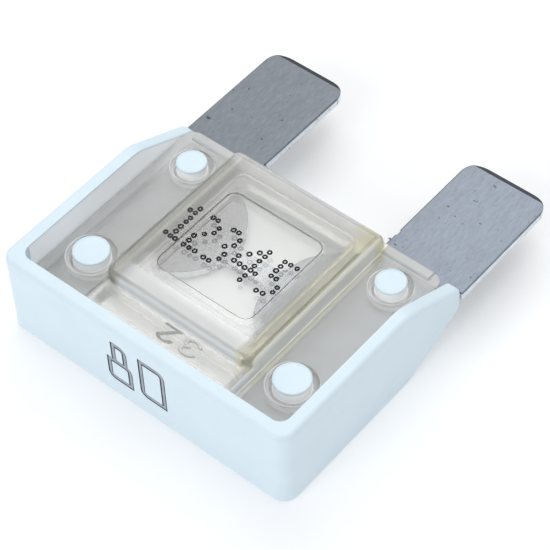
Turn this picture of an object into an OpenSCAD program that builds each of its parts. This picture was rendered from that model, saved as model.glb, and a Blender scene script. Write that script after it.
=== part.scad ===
// Large plug-in blade fuse, lying on its back with the clear cover up.
// X runs across the width, the blades point along +Y, and the rims rest on Z = 0.

/* [Housing] */
// Width over the side walls, and over the outer edges of the blades
body_w = 29.2; // [28.6:0.1:32]
// Height from the front wall to the ends of the side walls
body_h = 21.9; // [21.5:0.1:24]
// Thickness over the rims
body_t = 8.5; // [8.3:0.1:10]
// Thickness of the side walls
side_wall = 1.25; // [0.9:0.05:1.5]
// Thickness of the front wall
front_wall = 1.3; // [0.9:0.05:1.6]
// Radius of the front corners, seen from above
corner_r = 1.3; // [0.6:0.1:2]
// Radius of the corners inside the rim
pocket_r = 0.9; // [0.4:0.1:1.2]
// Rounding of the rim's outer edges
edge_r = 0.4; // [0.2:0.05:0.6]
// Length of the taper at the end of each side wall
taper_l = 6.7; // [5:0.1:8]
// Thickness left at the end of each side wall
taper_t = 2.3; // [2:0.1:3]
// Radius where the taper starts
taper_start_r = 3; // [1:0.5:4]
// Radius at the end of the taper
taper_end_r = 0.8; // [0.4:0.1:0.9]

/* [Cover and floor] */
// Thickness of the cover's wings and of the floor below the terminals
wing_t = 1.45; // [1.2:0.05:1.6]
// Setback of the wings and the floor from the ends of the side walls
wing_end = 0.5; // [0.3:0.1:0.8]
// Height of the lip along the back edge of the wings
lip_h = 0.25; // [0.1:0.05:0.4]
// Width of that lip
lip_w = 1; // [0.6:0.1:1.2]

/* [Raised centre] */
// Width of the raised box over the link
box_w = 15.3; // [14.8:0.1:15.6]
// Height of the box over the wings
box_rise = 1.85; // [1.6:0.05:1.9]
// Setback of the box from the ends of the side walls
box_end = 0.7; // [0.6:0.1:1]
// Thickness of the side walls of the box
box_wall = 1.5; // [1.2:0.1:1.8]
// Thickness of the top of the box
box_top_t = 1; // [0.8:0.1:1.2]
// Radius of the front corners of the box, seen from above
box_corner_r = 1.2; // [0.6:0.1:1.6]
// Rounding of the top edges of the box
box_edge_r = 0.45; // [0.2:0.05:0.6]
// Rounding of its back top edge
box_back_r = 1.2; // [0.6:0.1:1.5]
// Length of the low strip between the front wall and the box
strip_l = 3.05; // [2.6:0.05:3.4]
// Height of that strip over the wings
strip_rise = 1.05; // [0.8:0.05:1.2]
// Rounding of the sides of the strip
strip_r = 0.75; // [0.3:0.05:0.8]

/* [Window] */
// Width of the polished window in the top of the box
window_w = 9.7; // [8.5:0.1:10.5]
// Length of the window
window_l = 9.75; // [8.5:0.05:10.5]
// Distance from the front of the box to the window
window_front = 3; // [2.6:0.1:3.4]
// Depth of the window below the top of the box
window_sink = 0.15; // [0.1:0.05:0.3]
// Radius of the window's corners
window_r = 0.9; // [0.4:0.1:1.5]

/* [Fuse element] */
// Width of each blade
blade_w = 8; // [7.6:0.1:8.2]
// Thickness of the blades and the terminal plates
blade_t = 0.8; // [0.7:0.05:0.9]
// Length of the blades beyond the housing
blade_l = 12.3; // [11:0.1:14]
// Radius of the corners at the tip of a blade
tip_r = 1.8; // [1:0.1:2.5]
// Length of the bevel at the tip of a blade
tip_bevel = 0.35; // [0.2:0.05:0.5]
// Bevel along the long edges of a blade
side_bevel = 0.12; // [0.05:0.01:0.2]
// Gap between the front wall and the front edges of the terminals
front_gap = 0.5; // [0.2:0.1:1]
// Half the length of the plate that widens each terminal towards the link
plate_r = 5.45; // [5.4:0.05:5.6]
// Corner radius of the round plate
round_plate_r = 5.35; // [5:0.05:5.35]
// Corner radius of the square plate
square_plate_r = 4; // [2:0.1:4.5]
// Distance from the front wall's outer face to the middle of the link
link_y = 13.75; // [13.5:0.05:14]
// Width of the link's neck
neck_w = 2; // [1:0.1:3]
// Thickness of the neck
neck_t = 0.5; // [0.3:0.05:0.6]
// Radius where the neck meets the plates
neck_r = 0.8; // [0.3:0.1:1.2]
// Depth of the shallow well in the floor below the link
well_depth = 0.3; // [0.1:0.05:0.6]

/* [Stakes] */
// Distance from the inner face of a side wall to the middle of its stakes
stake_inset = 2.95; // [2.8:0.05:3]
// Diameter of the staked heads near the front wall
front_head_d = 3.1; // [2.6:0.1:3.2]
// Diameter of the staked heads near the blades
back_head_d = 2.6; // [2.2:0.1:2.8]
// Distance from the front wall's outer face to the front stakes
front_stake_y = 6; // [5.6:0.1:6.2]
// Distance from the ends of the side walls to the back stakes
back_stake_inset = 3.7; // [3.5:0.1:4.1]
// Height of the heads over the wings
head_rise = 0.55; // [0.3:0.05:0.7]
// Rounding of the heads
head_r = 0.3; // [0.1:0.05:0.4]
// Depth of the counterbores in the wings
sink_depth = 0.5; // [0.3:0.05:0.8]
// Free width round a head in its counterbore
sink_room = 0.5; // [0.2:0.05:0.55]
// Width of the shoulder under each head
head_shoulder = 0.5; // [0.3:0.05:0.6]

/* [Fits] */
// Clearance between separate pieces, on each side
fit_gap = 0.1; // [0.05:0.01:0.15]

/* [Hidden] */
$fn = 64;
// Amount by which a cutting shape runs past a face
past = 1;

overall_h = body_h + fit_gap + blade_l;
mid_z = body_t / 2;
// Underside and upper face of the terminal plates
seat_z = mid_z - blade_t / 2;
plate_top_z = mid_z + blade_t / 2;
wing_z = plate_top_z + wing_t;
strip_z = wing_z + strip_rise;
box_z = wing_z + box_rise;

pocket_x = body_w / 2 - side_wall;
wing_y = body_h - wing_end;
box_x = box_w / 2;
box_y0 = front_wall + strip_l;
box_y1 = body_h - box_end;
cavity_r = 0.5;

plate_x = pocket_x - fit_gap - plate_r;
blade_x0 = body_w / 2 - blade_w;
shoulder_y = body_h + fit_gap;

// Stakes beside the box: place, then diameter of the head
stake_x = pocket_x - stake_inset;
back_stake_y = body_h - back_stake_inset;
stakes = [for (side = [-1, 1]) each [
    [side * stake_x, front_stake_y, front_head_d],
    [side * stake_x, back_stake_y, back_head_d]
]];

// Outlines

function unit(v) = v / norm(v);
function to_previous(p, i) = unit(p[(i + len(p) - 1) % len(p)] - p[i]);
function to_next(p, i) = unit(p[(i + 1) % len(p)] - p[i]);
function half_angle(p, i) = acos(to_previous(p, i) * to_next(p, i)) / 2;
function arc_centre(p, i, r) =
    p[i] + unit(to_previous(p, i) + to_next(p, i)) * r / sin(half_angle(p, i));

// Convex outline whose corners have their own radii, or none
module rounded(points, radii) {
    polygon([
        for (i = [0:len(points) - 1])
            let (reach = radii[i] / tan(half_angle(points, i)))
                each radii[i] == 0 ? [points[i]] : [
                    points[i] + to_previous(points, i) * reach,
                    points[i] + to_next(points, i) * reach
                ]
    ]);
    for (i = [0:len(points) - 1])
        if (radii[i] > 0) translate(arc_centre(points, i, radii[i])) circle(radii[i]);
}

// Rectangle from one corner to the other, with radii from its first corner anticlockwise
module plate(low, high, radii) {
    rounded([low, [high.x, low.y], high, [low.x, high.y]], radii);
}

// Extrudes an outline that is drawn in the YZ plane, right across the width
module across() {
    rotate([90, 0, 90]) linear_extrude(body_w + 2 * past, center = true) children();
}

// Extrudes an outline that is drawn in the XZ plane, from one depth to another
module along(from_y, to_y) {
    translate([0, to_y, 0]) rotate([90, 0, 0]) linear_extrude(to_y - from_y) children();
}

// Extrudes an outline that is drawn in the XY plane, from one height to another
module upward(from_z, to_z) {
    translate([0, 0, from_z]) linear_extrude(to_z - from_z) children();
}

// Turns a shape above the terminals into the same shape below them
module below() {
    translate([0, 0, body_t]) mirror([0, 0, 1]) children();
}

// Places the fuse with the middle of its outline at the origin
module centred() {
    translate([0, -overall_h / 2, 0]) children();
}

// Forms that the housing and the cover share

// Raised box over the link, from the terminals up
module box_form() {
    intersection() {
        along(0, body_h)
            plate([-box_x, plate_top_z], [box_x, box_z], [0, 0, box_edge_r, box_edge_r]);
        across()
            plate([box_y0, plate_top_z], [box_y1, box_z], [0, 0, box_back_r, box_edge_r]);
        upward(plate_top_z, box_z)
            plate([-box_x, box_y0], [box_x, box_y1],
                [box_corner_r, box_corner_r, box_edge_r, box_edge_r]);
    }
}

// Low strip that joins the box to the front wall
module strip_form(from_y) {
    along(from_y, box_y0 + box_corner_r)
        plate([-box_x, plate_top_z], [box_x, strip_z], [0, 0, strip_r, strip_r]);
}

// Outline of the cavity round the link
module cavity_plan() {
    plate([-box_x + box_wall, box_y0 + box_wall], [box_x - box_wall, box_y1 - box_wall],
        [cavity_r, cavity_r, cavity_r, cavity_r]);
}

module cavity() {
    upward(plate_top_z - past, box_z - box_top_t) cavity_plan();
}

// Fuse element

// Right-hand terminal, grown by a clearance: a straight stem that widens towards the link
module terminal_plan(radius, grow) {
    reach = plate_r + grow;
    r = radius + grow;
    translate([plate_x, link_y]) plate([-reach, -reach], [reach, reach], [r, r, 0, r]);
    stem_plan(grow);
}

// Both terminals: the round plate on the left, the square one on the right
module terminals_plan(grow) {
    mirror([1, 0]) terminal_plan(round_plate_r, grow);
    terminal_plan(square_plate_r, grow);
}

// Stem of the right-hand terminal, from the front wall to the shoulder of its blade
module stem_plan(grow) {
    front_y = front_wall + front_gap - grow;
    translate([blade_x0 - grow, front_y])
        square([pocket_x - fit_gap - blade_x0 + 2 * grow, shoulder_y - front_y]);
}

// Half of the web between the neck and a round plate, above the neck
module neck_web(plate_radius) {
    arc = [sqrt(pow(plate_radius + neck_r, 2) - pow(neck_w / 2 + neck_r, 2)), neck_w / 2 + neck_r];
    difference() {
        polygon([[0, 0], [arc.x, 0], arc]);
        translate(arc) circle(neck_r);
    }
}

// Half of the web between the neck and the straight side of the square plate
module side_web() {
    arc = [-plate_r - neck_r, neck_w / 2 + neck_r];
    difference() {
        translate([arc.x, 0]) square([neck_r, arc.y]);
        translate(arc) circle(neck_r);
    }
}

module neck_plan() {
    translate([-plate_x, link_y - neck_w / 2]) square([2 * plate_x - plate_r, neck_w]);
    for (side = [0, 1]) {
        translate([-plate_x, link_y]) mirror([0, side]) neck_web(plate_r);
        translate([plate_x, link_y]) mirror([0, side]) side_web();
    }
}

// Right-hand blade with its stem, from the terminal plate to the bevelled tip
module blade() {
    x1 = body_w / 2;
    edge_z = blade_t / 2 - side_bevel;
    intersection() {
        upward(seat_z, plate_top_z) {
            plate([blade_x0, shoulder_y], [x1, overall_h], [0, 0, tip_r, tip_r]);
            translate([blade_x0, link_y])
                square([pocket_x - fit_gap - blade_x0, overall_h - tip_r - link_y]);
        }
        along(link_y, overall_h) polygon([
            [blade_x0 + side_bevel, seat_z], [x1 - side_bevel, seat_z],
            [x1, mid_z - edge_z], [x1, mid_z + edge_z],
            [x1 - side_bevel, plate_top_z], [blade_x0 + side_bevel, plate_top_z],
            [blade_x0, mid_z + edge_z], [blade_x0, mid_z - edge_z]
        ]);
        across() polygon([
            [link_y, seat_z], [overall_h - tip_bevel, seat_z],
            [overall_h, mid_z - blade_t / 4], [overall_h, mid_z + blade_t / 4],
            [overall_h - tip_bevel, plate_top_z], [link_y, plate_top_z]
        ]);
    }
}

module fuse_element() {
    color("darkgray") centred() union() {
        difference() {
            union() {
                upward(seat_z, plate_top_z) terminals_plan(0);
                blade();
                mirror([1, 0, 0]) blade();
            }
            stake_holes(fit_gap);
        }
        upward(mid_z - neck_t / 2, mid_z + neck_t / 2) neck_plan();
    }
}

// Stakes

// Holes for the shanks of the stakes
module stake_holes(grow) {
    for (s = stakes)
        translate([s.x, s.y, seat_z - past])
            cylinder(h = body_t, r = s.z / 2 - head_shoulder + grow);
}

// Stake with its shank on the floor and its formed head in the counterbore
module stake(head_d) {
    shank_r = head_d / 2 - head_shoulder;
    rotate_extrude()
        plate([0, wing_z - sink_depth], [head_d / 2, wing_z + head_rise], [0, 0, head_r, 0]);
    translate([0, 0, seat_z - wing_t / 2])
        cylinder(h = wing_z - seat_z + wing_t / 2, r = shank_r);
}

// Clear cover

module wing_plan() {
    x = pocket_x - fit_gap;
    plate([-x, front_wall + fit_gap], [x, wing_y], [pocket_r, pocket_r, pocket_r, pocket_r]);
}

module wing_lip() {
    x = pocket_x - fit_gap;
    along(wing_y - lip_w, wing_y)
        plate([-x + pocket_r, wing_z - lip_h], [x - pocket_r, wing_z + lip_h], [0, 0, lip_h, lip_h]);
}

module clear_cover() {
    color("whitesmoke", 0.4) centred() difference() {
        union() {
            upward(plate_top_z, wing_z) wing_plan();
            wing_lip();
            box_form();
            strip_form(front_wall + fit_gap);
        }
        cavity();
        upward(box_z - window_sink, box_z + past)
            plate([-window_w / 2, box_y0 + window_front],
                [window_w / 2, box_y0 + window_front + window_l],
                [window_r, window_r, window_r, window_r]);
        stake_holes(fit_gap);
        for (s = stakes)
            translate([s.x, s.y, wing_z - sink_depth])
                cylinder(h = body_t, r = s.z / 2 + sink_room);
    }
}

// Housing

// Outline of a side wall, whose end tapers to the blade from above and below
module wall_profile() {
    low = mid_z - taper_t / 2;
    high = mid_z + taper_t / 2;
    rounded([
        [0, 0], [body_h - taper_l, 0], [body_h, low],
        [body_h, high], [body_h - taper_l, body_t], [0, body_t]
    ], [edge_r, taper_start_r, taper_end_r, taper_end_r, taper_start_r, edge_r]);
}

// Solid block with the rounded outside of the housing
module block_form() {
    x = body_w / 2;
    intersection() {
        upward(0, body_t) plate([-x, 0], [x, body_h], [corner_r, corner_r, 0, 0]);
        along(0, body_h) plate([-x, 0], [x, body_t], [edge_r, edge_r, edge_r, edge_r]);
        across() wall_profile();
    }
}

// Room inside the rim, open towards the blades
module pocket(from_z, to_z) {
    upward(from_z, to_z)
        plate([-pocket_x, front_wall], [pocket_x, body_h + past], [pocket_r, pocket_r, 0, 0]);
}

// Floor with a land round the terminals that carries the cover
module floor_form() {
    x = pocket_x + side_wall / 2;
    front = [-x, front_wall / 2];
    upward(body_t - wing_z, seat_z) plate(front, [x, wing_y], [0, 0, 0, 0]);
    upward(seat_z, plate_top_z) difference() {
        plate(front, [x, wing_y], [0, 0, 0, 0]);
        terminals_plan(fit_gap);
        cavity_plan();
    }
}

module housing() {
    color("white") centred() union() {
        difference() {
            union() {
                difference() {
                    block_form();
                    pocket(-past, body_t + past);
                }
                intersection() {
                    floor_form();
                    block_form();
                }
                below() {
                    box_form();
                    strip_form(front_wall / 2);
                }
            }
            upward(seat_z - well_depth, plate_top_z + past) cavity_plan();
        }
        for (s = stakes) translate([s.x, s.y, 0]) stake(s.z);
    }
}

housing();
clear_cover();
fuse_element();
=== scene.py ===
"""Looks of a large plug-in blade fuse: moulded housing, clear cover, stamped fuse element, marks and studio.

Pieces are modelled in millimetres, with y measured from the outer face of the front wall, and settle() puts
each finished mesh into the frame, in metres.
"""
import logging
import math
import random
from collections.abc import Callable, Iterator, Sequence
from contextlib import contextmanager
from dataclasses import dataclass, field
from enum import Enum

import bmesh
import bpy
from mathutils import Matrix, Vector


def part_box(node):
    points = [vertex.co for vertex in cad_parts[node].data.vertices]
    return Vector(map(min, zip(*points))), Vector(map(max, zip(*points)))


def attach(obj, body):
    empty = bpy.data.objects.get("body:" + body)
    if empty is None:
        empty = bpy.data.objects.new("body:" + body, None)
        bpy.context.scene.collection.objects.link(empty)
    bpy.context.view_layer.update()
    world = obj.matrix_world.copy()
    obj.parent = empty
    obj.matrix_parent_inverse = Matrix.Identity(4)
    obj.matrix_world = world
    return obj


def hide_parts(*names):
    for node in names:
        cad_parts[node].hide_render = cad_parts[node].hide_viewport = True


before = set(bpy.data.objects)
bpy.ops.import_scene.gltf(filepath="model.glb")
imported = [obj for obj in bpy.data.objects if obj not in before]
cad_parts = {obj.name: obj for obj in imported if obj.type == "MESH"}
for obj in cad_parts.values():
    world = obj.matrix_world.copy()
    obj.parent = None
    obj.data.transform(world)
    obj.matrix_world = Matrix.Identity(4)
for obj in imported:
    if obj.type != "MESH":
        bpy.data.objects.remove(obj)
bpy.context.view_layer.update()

log = logging.getLogger("fuse")

MM = 0.001
IMAGE_PX = 550
BODY = "root"
TOUCHING = 1e-3
PAST = 1.0

Piece = bpy.types.Object
Material = bpy.types.Material
Socket = bpy.types.NodeSocket
Pair = tuple[float, float]
Point = tuple[float, float, float]
Colour = tuple[float, float, float]
EdgeTest = Callable[[bmesh.types.BMEdge], bool]

WHITE: Colour = (1.0, 1.0, 1.0)


class Joining(Enum):
    """Ways to combine one solid with another."""

    ADD = "UNION"
    CUT = "DIFFERENCE"
    KEEP_COMMON = "INTERSECT"


class Axis(Enum):
    """Axis that an edge runs along or a place is measured on."""

    X = 0
    Y = 1
    Z = 2


# Workbench: short calls round Blender's own operators


def only(piece: Piece) -> None:
    """Selects one object alone and makes it active.

    Args:
        piece: Object to select.
    """
    bpy.ops.object.select_all(action="DESELECT")
    piece.select_set(True)
    bpy.context.view_layer.objects.active = piece


@contextmanager
def editing(piece: Piece, kind: str) -> Iterator[bmesh.types.BMesh]:
    """Opens a piece in edit mode with nothing selected, and closes it again.

    Args:
        piece: Mesh object to edit.
        kind: VERT, EDGE or FACE, the kind of element that is selected.

    Yields:
        The mesh in edit mode, for selecting its elements.
    """
    only(piece)
    bpy.ops.object.mode_set(mode="EDIT")
    bpy.ops.mesh.select_mode(type=kind)
    bpy.ops.mesh.select_all(action="DESELECT")
    yield bmesh.from_edit_mesh(piece.data)
    bpy.ops.object.mode_set(mode="OBJECT")


def select(elements: Sequence, wanted: Callable) -> None:
    """Selects the edges or faces that pass a test.

    Args:
        elements: Edges or faces of a mesh in edit mode.
        wanted: Test that picks them.
    """
    for element in elements:
        if wanted(element):
            element.select_set(True)


def lies(edge: bmesh.types.BMEdge, axis: Axis, place: float) -> bool:
    """Tells whether both ends of an edge lie at one place on an axis."""
    return all(abs(vert.co[axis.value] - place) < TOUCHING for vert in edge.verts)


def runs(edge: bmesh.types.BMEdge, axis: Axis) -> bool:
    """Tells whether an edge runs along an axis."""
    along = (edge.verts[1].co - edge.verts[0].co).normalized()
    return abs(along[axis.value]) > 1 - TOUCHING


def edges_at(along: Axis, *places: tuple[Axis, float]) -> EdgeTest:
    """Returns a test for the edges that run along an axis and lie at the given places."""
    return lambda edge: runs(edge, along) and all(lies(edge, axis, place) for axis, place in places)


def is_sharp(edge: bmesh.types.BMEdge, angle_deg: float = 40.0) -> bool:
    """Tells whether the faces at an edge meet at more than an angle."""
    return edge.calc_face_angle(0.0) > math.radians(angle_deg)


def round_edges(piece: Piece, wanted: EdgeTest, radius: float, segments: int = 6) -> None:
    """Rounds the edges that pass a test.

    Args:
        piece: Mesh object to edit.
        wanted: Test that picks the edges.
        radius: Distance from each edge to where its rounding starts.
        segments: Faces across the rounding.
    """
    with editing(piece, "EDGE") as mesh:
        select(mesh.edges, wanted)
        bpy.ops.mesh.bevel(offset=radius, segments=segments, profile=0.5, affect="EDGES", clamp_overlap=False)


def taper_back(piece: Piece, reach: float, end: Point, share: float) -> None:
    """Draws the back face of a piece out and makes it lower.

    Args:
        piece: Mesh object to edit.
        reach: Distance that the face is drawn out.
        end: Middle of the face once it is drawn out.
        share: Share of its height that is left.
    """
    with editing(piece, "FACE") as mesh:
        select(mesh.faces, lambda face: face.normal.y > 1 - TOUCHING)
        bpy.ops.mesh.extrude_region_move(TRANSFORM_OT_translate={"value": (0.0, reach, 0.0)})
        bpy.ops.transform.resize(value=(1.0, 1.0, share), center_override=end)


def added(name: str) -> Piece:
    """Names the object that was just added, and fixes its place, turn and scale in its mesh.

    Args:
        name: Name of the object and its mesh.

    Returns:
        The named object.
    """
    piece = bpy.context.active_object
    piece.name = piece.data.name = name
    bpy.ops.object.transform_apply(location=True, rotation=True, scale=True)
    return piece


def block(name: str, low: Point, high: Point) -> Piece:
    """Adds a block from its lowest to its highest corner.

    Args:
        name: Name of the new object.
        low: Lowest corner.
        high: Highest corner.

    Returns:
        The new object.
    """
    bpy.ops.mesh.primitive_cube_add(size=1, location=(Vector(low) + Vector(high)) / 2)
    bpy.context.active_object.scale = Vector(high) - Vector(low)
    return added(name)


def rounded_block(
    name: str, low: Point, high: Point, radii: tuple[float, float, float, float], segments: int = 8
) -> Piece:
    """Adds a block whose upright edges are rounded.

    Args:
        name: Name of the new object.
        low: Lowest corner.
        high: Highest corner.
        radii: Radii of the front left, front right, back right and back left edges.
        segments: Faces across each rounding.

    Returns:
        The new object.
    """
    piece = block(name, low, high)
    corners = ((low[0], low[1]), (high[0], low[1]), (high[0], high[1]), (low[0], high[1]))
    for (x, y), radius in zip(corners, radii):
        if radius > 0:
            round_edges(piece, edges_at(Axis.Z, (Axis.X, x), (Axis.Y, y)), radius, segments)
    return piece


def disc(name: str, centre: Pair, radius: float, low: float, high: float, sides: int = 48) -> Piece:
    """Adds an upright cylinder.

    Args:
        name: Name of the new object.
        centre: Middle of the cylinder, seen from above.
        radius: Radius of the cylinder.
        low: Height of its lower face.
        high: Height of its upper face.
        sides: Faces round the cylinder.

    Returns:
        The new object.
    """
    bpy.ops.mesh.primitive_cylinder_add(
        vertices=sides, radius=radius, depth=high - low, location=(*centre, (low + high) / 2)
    )
    return added(name)


def rod(name: str, start: Point, end: Point, radius: float, sides: int = 12) -> Piece:
    """Adds a round rod between two points.

    Args:
        name: Name of the new object.
        start: Middle of its first end.
        end: Middle of its other end.
        radius: Radius of the rod.
        sides: Faces round the rod.

    Returns:
        The new object.
    """
    along = Vector(end) - Vector(start)
    bpy.ops.mesh.primitive_cylinder_add(
        vertices=sides,
        radius=radius,
        depth=along.length,
        location=(Vector(start) + Vector(end)) / 2,
        rotation=along.to_track_quat("Z", "Y").to_euler(),
    )
    return added(name)


def finish_modifier(piece: Piece, kind: str, **settings: object) -> None:
    """Adds a modifier with its settings and applies it.

    Args:
        piece: Mesh object that takes the modifier.
        kind: Blender's type name of the modifier.
        **settings: Values of the modifier's properties.
    """
    only(piece)
    modifier = piece.modifiers.new(kind.lower(), kind)
    for name, value in settings.items():
        setattr(modifier, name, value)
    bpy.ops.object.modifier_apply(modifier=modifier.name)


def combine(piece: Piece, how: Joining, *tools: Piece) -> Piece:
    """Adds solids to a piece, cuts them out, or keeps what they share, and removes them.

    A solid with a finish of its own leaves that finish on its faces.

    Args:
        piece: Mesh object that is changed.
        how: Way to combine it with each solid.
        *tools: Solids, in the order in which they are used.

    Returns:
        The changed piece.
    """
    for tool in tools:
        finish_modifier(
            piece, "BOOLEAN", operation=how.value, solver="EXACT", object=tool,
            material_mode="TRANSFER" if tool.data.materials else "INDEX",
        )
        bpy.data.objects.remove(tool)
    return piece


def joined(pieces: list[Piece], name: str) -> Piece:
    """Joins objects into one and names it.

    Args:
        pieces: Objects to join.
        name: Name of the whole.

    Returns:
        The joined object.
    """
    only(pieces[0])
    for piece in pieces:
        piece.select_set(True)
    bpy.ops.object.join()
    pieces[0].name = pieces[0].data.name = name
    return pieces[0]


def tidy(piece: Piece, merge: float = 0.002, flat_deg: float = 0.2) -> None:
    """Merges doubled points and joins the flat faces that booleans leave split.

    Args:
        piece: Mesh object to clean.
        merge: Distance below which two points become one.
        flat_deg: Angle below which two faces are one.
    """
    with editing(piece, "VERT"):
        bpy.ops.mesh.select_all(action="SELECT")
        bpy.ops.mesh.remove_doubles(threshold=merge)
        bpy.ops.mesh.dissolve_limited(angle_limit=math.radians(flat_deg))


def soften(piece: Piece, width: float, segments: int = 2, angle_deg: float = 30.0) -> None:
    """Rounds every edge that is still sharp by a small width.

    Args:
        piece: Mesh object to round.
        width: Distance from each edge to where its rounding starts.
        segments: Faces across each rounding.
        angle_deg: Angle from which an edge is sharp.
    """
    finish_modifier(
        piece, "BEVEL", width=width, segments=segments, limit_method="ANGLE",
        angle_limit=math.radians(angle_deg), use_clamp_overlap=False, miter_outer="MITER_ARC",
    )


def settle(piece: Piece, material: Material, smooth_deg: float = 45.0) -> Piece:
    """Shades a finished piece, dresses it and puts it into the frame.

    Args:
        piece: Mesh object in millimetres, with y from the front wall.
        material: Finish of the whole piece, unless it already has its own.
        smooth_deg: Angle up to which faces are shaded as one surface.

    Returns:
        The piece, at the origin and in metres.
    """
    only(piece)
    bpy.ops.object.shade_smooth_by_angle(angle=math.radians(smooth_deg))
    finish_modifier(piece, "WEIGHTED_NORMAL", keep_sharp=True, weight=50)
    if not piece.data.materials:
        piece.data.materials.append(material)
    piece.scale = (MM, MM, MM)
    piece.location = (0.0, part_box("housing")[0].y, 0.0)
    bpy.ops.object.transform_apply(location=True, rotation=True, scale=True)
    return piece


def as_rgba(colour: Colour) -> tuple[float, float, float, float]:
    """Returns a colour with full opacity."""
    return (*colour, 1.0)


class NodeSheet:
    """Node tree of one material or world, with short calls to add and join nodes."""

    NOISE_SPREAD: Pair = (0.35, 0.65)
    WIDE_SPREAD: Pair = (0.3, 0.7)

    def __init__(self, owner: Material | bpy.types.World) -> None:
        """Clears the owner's node tree.

        Args:
            owner: Material or world whose nodes are built.
        """
        owner.use_nodes = True
        self.tree = owner.node_tree
        self.tree.nodes.clear()

    def put(self, socket: Socket, value: object) -> None:
        """Sets an input socket to a plain value, or joins an output socket to it.

        Args:
            socket: Input socket.
            value: Plain value, or output socket to join.
        """
        if isinstance(value, Socket):
            self.tree.links.new(value, socket)
        else:
            socket.default_value = value

    def add(self, kind: str, **sockets: object) -> bpy.types.Node:
        """Adds a node and sets or joins its input sockets.

        Args:
            kind: Blender's type name of the node.
            **sockets: Value or output socket for each input, named in lower case with underscores.

        Returns:
            The new node.
        """
        node = self.tree.nodes.new(kind)
        for name, value in sockets.items():
            wanted = name.replace("_", " ")
            self.put(next(s for s in node.inputs if s.name.lower() == wanted and s.enabled), value)
        return node

    def maths(self, operation: str, first: object, *others: object) -> Socket:
        """Returns the result of an operation on one value or socket, or carried on over several.

        Args:
            operation: Blender's name of the operation.
            first: First value or socket.
            *others: Other values or sockets, taken in order.

        Returns:
            The socket of the result.
        """
        for second in others or (0.0,):
            node = self.tree.nodes.new("ShaderNodeMath")
            node.operation = operation
            self.put(node.inputs[0], first)
            self.put(node.inputs[1], second)
            first = node.outputs[0]
        return first

    def remap(
        self, value: Socket, start: float, end: float, to_start: float = 0.0, to_end: float = 1.0
    ) -> Socket:
        """Returns a value carried from one range to another and kept inside it.

        Args:
            value: Socket of the value.
            start: Start of its own range.
            end: End of its own range.
            to_start: Result at the start.
            to_end: Result at the end.

        Returns:
            The socket of the result.
        """
        node = self.add(
            "ShaderNodeMapRange", value=value, from_min=start, from_max=end, to_min=to_start, to_max=to_end
        )
        return node.outputs["Result"]

    def in_mm(self, stretch: Point = (1.0, 1.0, 1.0), turn_deg: float = 0.0) -> Socket:
        """Returns Object coordinates in millimetres, stretched or turned about Z for a pattern.

        Args:
            stretch: Factor for each axis.
            turn_deg: Turn about Z.

        Returns:
            The socket of the coordinates.
        """
        place = self.add("ShaderNodeTexCoord")
        mapping = self.add("ShaderNodeMapping", vector=place.outputs["Object"])
        mapping.inputs["Scale"].default_value = [factor / MM for factor in stretch]
        mapping.inputs["Rotation"].default_value = (0.0, 0.0, math.radians(turn_deg))
        return mapping.outputs["Vector"]

    def noise(self, vector: Socket, scale: float, detail: float) -> Socket:
        """Returns the factor of a noise pattern, with its scale in turns per millimetre."""
        node = self.add("ShaderNodeTexNoise", vector=vector, scale=scale, detail=detail)
        return node.outputs["Fac"]

    def mottling(
        self, vector: Socket, scale: float, detail: float, to_start: float = 0.0, to_end: float = 1.0
    ) -> Socket:
        """Returns a noise pattern spread over the whole of a range."""
        return self.remap(self.noise(vector, scale, detail), *self.NOISE_SPREAD, to_start, to_end)

    def mix(self, factor: Socket, first: Socket | Colour, second: Colour) -> Socket:
        """Returns a blend of two colours, the first of which another node may give.

        Args:
            factor: Share of the second colour.
            first: Colour, or the socket of one.
            second: Other colour.

        Returns:
            The socket of the blend.
        """
        node = self.tree.nodes.new("ShaderNodeMix")
        node.data_type = "RGBA"
        start = first if isinstance(first, Socket) else as_rgba(first)
        for index, value in ((0, factor), (6, start), (7, as_rgba(second))):
            self.put(node.inputs[index], value)
        return node.outputs[2]

    def bump(self, height: Socket, strength: float, depth_mm: float) -> Socket:
        """Returns a normal that is bumped by a height pattern of a given depth."""
        node = self.add("ShaderNodeBump", height=height, strength=strength, distance=depth_mm * MM)
        return node.outputs["Normal"]

    def place_on(self, axis: Axis) -> Socket:
        """Returns the place on an axis in millimetres, with y from the front wall.

        Args:
            axis: Axis of the place.

        Returns:
            The socket of the place.
        """
        place = self.add("ShaderNodeTexCoord")
        axes = self.add("ShaderNodeSeparateXYZ", vector=place.outputs["Object"])
        along = self.maths("MULTIPLY", axes.outputs[axis.value], 1 / MM)
        return self.maths("SUBTRACT", along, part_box("housing")[0].y / MM) if axis is Axis.Y else along

    def diagonal(self, across: Socket, along: Socket) -> Socket:
        """Returns the distance that two distances at a right angle make."""
        squares = [self.maths("MULTIPLY", gap, gap) for gap in (across, along)]
        return self.maths("SQRT", self.maths("ADD", *squares))

    def outside(self, low: Pair, high: Pair, corner: float = 0.0) -> Socket:
        """Returns the distance out of a rectangle on the top, in millimetres and below 0 inside it.

        Args:
            low: Front left corner, with y from the front wall.
            high: Back right corner.
            corner: Radius of its corners.

        Returns:
            The socket of the distance.
        """
        gaps = []
        for axis, start, end in zip((Axis.X, Axis.Y), low, high):
            offset = self.maths("SUBTRACT", self.place_on(axis), (start + end) / 2)
            gaps.append(self.maths("SUBTRACT", self.maths("ABSOLUTE", offset), (end - start) / 2 - corner))
        away = self.diagonal(*(self.maths("MAXIMUM", gap, 0.0) for gap in gaps))
        within = self.maths("MINIMUM", self.maths("MAXIMUM", *gaps), 0.0)
        return self.maths("SUBTRACT", self.maths("ADD", away, within), corner)

    def side_gap(self, x_mm: float) -> Socket:
        """Returns the distance from two upright planes at x and -x, in millimetres."""
        from_middle = self.maths("ABSOLUTE", self.place_on(Axis.X))
        return self.maths("ABSOLUTE", self.maths("SUBTRACT", from_middle, x_mm))

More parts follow.
